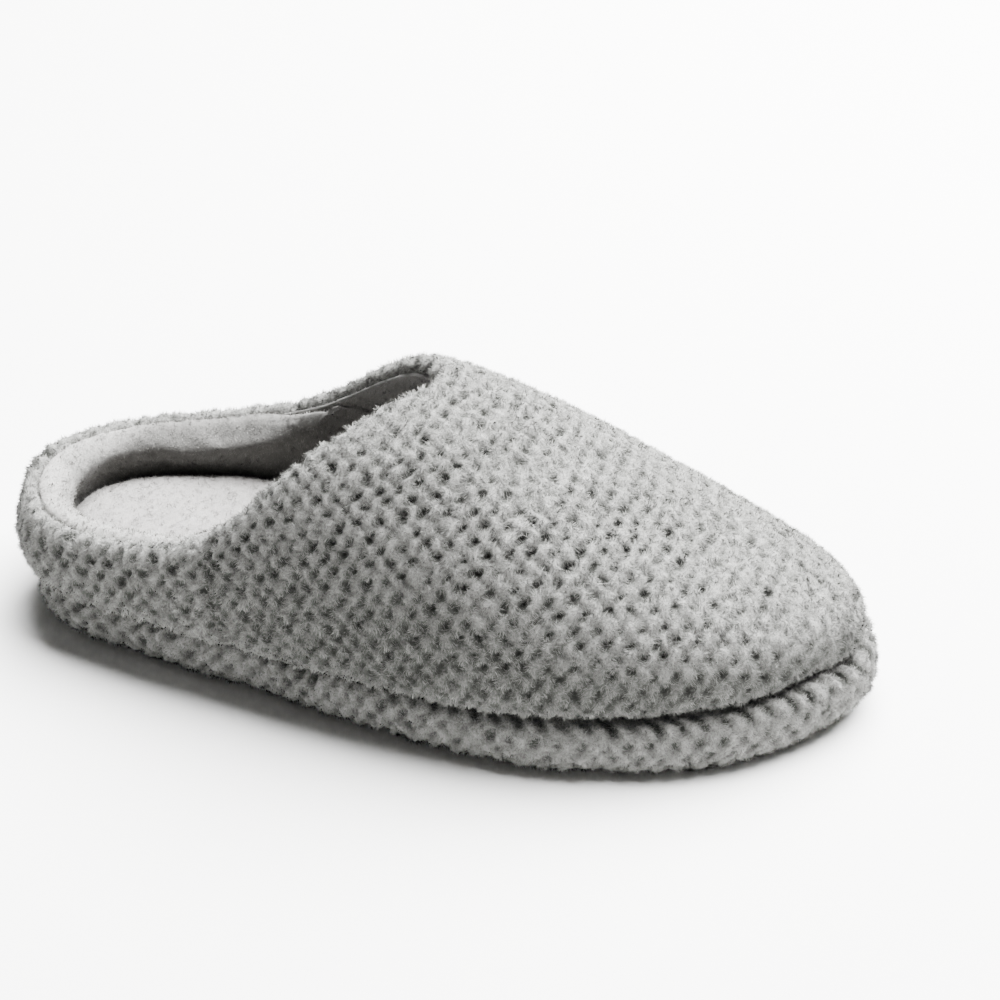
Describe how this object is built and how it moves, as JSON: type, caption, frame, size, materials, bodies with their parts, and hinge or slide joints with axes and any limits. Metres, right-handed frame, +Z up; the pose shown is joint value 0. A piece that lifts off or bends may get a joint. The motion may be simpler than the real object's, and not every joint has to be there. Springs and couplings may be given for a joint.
{
  "type": "scuff slipper",
  "caption": "Closed-toe slip-on house slipper in popcorn-textured plush fleece, with a low padded heel collar, a soft insole and a fleece-wrapped flat sole.",
  "frame": {"origin": "on the floor, under the middle of the slipper's bounding box", "axes": "+X towards the toe, +Y towards the inner side of the foot (the wearer's left), +Z up"},
  "size_m": [0.274, 0.1116, 0.0935],
  "materials": {
    "fleece_sole": "popcorn fleece, matt, mid grey",
    "fleece_upper": "popcorn fleece, matt, mid grey",
    "plush_collar": "short plush, matt, light grey",
    "plush_insole": "short plush, matt, pale grey"
  },
  "bodies": {
    "root": {"sole": "fleece_sole", "upper": "fleece_upper", "heel_collar": "plush_collar", "insole": "plush_insole"}
  },
  "joints": []
}
